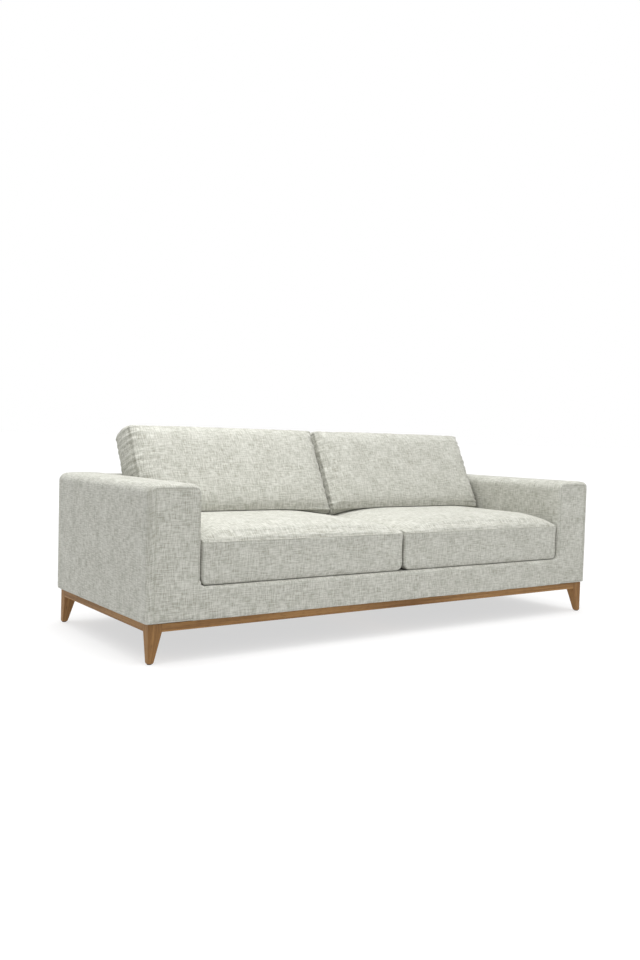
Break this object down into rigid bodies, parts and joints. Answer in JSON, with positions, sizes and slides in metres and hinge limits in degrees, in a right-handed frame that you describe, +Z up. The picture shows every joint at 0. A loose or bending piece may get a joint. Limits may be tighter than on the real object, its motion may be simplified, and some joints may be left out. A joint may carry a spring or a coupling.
{
  "type": "sofa",
  "caption": "Fabric sofa with boxy padded arms, loose crowned seat and back cushions and a low timber plinth frame on short tapered legs.",
  "frame": {"origin": "on the floor, under the middle of the sofa's width and depth", "axes": "+X to the right of a viewer who faces the sofa's front, the front faces -Y, +Z up"},
  "size_m": [2.2, 0.85, 0.7983],
  "materials": {
    "cover_cloth": "matte",
    "base_timber": "satin",
    "glide_plastic": "matte",
    "steel": "satin",
    "dust_cloth": "matte",
    "lining_cloth": "matte",
    "webbing": "matte",
    "zip_tape": "matte",
    "padding": "matte",
    "hardboard": "matte",
    "plywood": "matte",
    "frame_timber": "matte"
  },
  "bodies": {
    "frame": {"arm_bottom_board_left": "plywood", "arm_bottom_board_right": "plywood", "arm_cover_left": "cover_cloth", "arm_cover_right": "cover_cloth", "arm_front_panel_left": "plywood", "arm_front_panel_right": "plywood", "arm_inner_board_left": "hardboard", "arm_inner_board_right": "hardboard", "arm_outer_board_left": "hardboard", "arm_outer_board_right": "hardboard", "arm_padding_left": "padding", "arm_padding_right": "padding", "arm_rear_panel_left": "plywood", "arm_rear_panel_right": "plywood", "arm_top_board_left": "plywood", "arm_top_board_right": "plywood", "back_inner_cover": "cover_cloth", "back_outer_board": "hardboard", "back_outer_cover": "cover_cloth", "back_padding": "padding", "back_posts": "frame_timber", "back_top_rail": "frame_timber", "back_webbing": "webbing", "base_bolts": "steel", "base_corner_blocks": "base_timber", "base_cross_rail": "base_timber", "base_rail_back": "base_timber", "base_rail_front": "base_timber", "base_rail_left": "base_timber", "base_rail_right": "base_timber", "deck_cloth": "lining_cloth", "deck_foam": "padding", "dust_cover": "dust_cloth", "foot_glides": "glide_plastic", "front_border_cover": "cover_cloth", "front_border_padding": "padding", "leg_back_left": "base_timber", "leg_back_right": "base_timber", "leg_front_left": "base_timber", "leg_front_right": "base_timber", "seat_centre_rail": "frame_timber", "seat_rail_back": "frame_timber", "seat_rail_front": "frame_timber", "seat_rail_left": "frame_timber", "seat_rail_right": "frame_timber", "seat_springs": "steel", "spring_clips": "steel"},
    "seat_cushion_left": {"seat_cushion_cover_left": "cover_cloth", "seat_cushion_filling_left": "padding", "seat_cushion_zip_left": "zip_tape"},
    "back_cushion_left": {"back_cushion_cover_left": "cover_cloth", "back_cushion_filling_left": "padding", "back_cushion_zip_left": "zip_tape"},
    "seat_cushion_right": {"seat_cushion_cover_right": "cover_cloth", "seat_cushion_filling_right": "padding", "seat_cushion_zip_right": "zip_tape"},
    "back_cushion_right": {"back_cushion_cover_right": "cover_cloth", "back_cushion_filling_right": "padding", "back_cushion_zip_right": "zip_tape"}
  },
  "joints": [
    {"name": "seat_cushion_left_pull", "type": "slide", "parent": "frame", "child": "seat_cushion_left", "axis": [0, -1, 0], "range_m": [0, 0.61]},
    {"name": "back_cushion_left_lift", "type": "slide", "parent": "frame", "child": "back_cushion_left", "axis": [0, 0, 1], "range_m": [0, 0.16]},
    {"name": "seat_cushion_right_pull", "type": "slide", "parent": "frame", "child": "seat_cushion_right", "axis": [0, -1, 0], "range_m": [0, 0.61]},
    {"name": "back_cushion_right_lift", "type": "slide", "parent": "frame", "child": "back_cushion_right", "axis": [0, 0, 1], "range_m": [0, 0.16]}
  ]
}
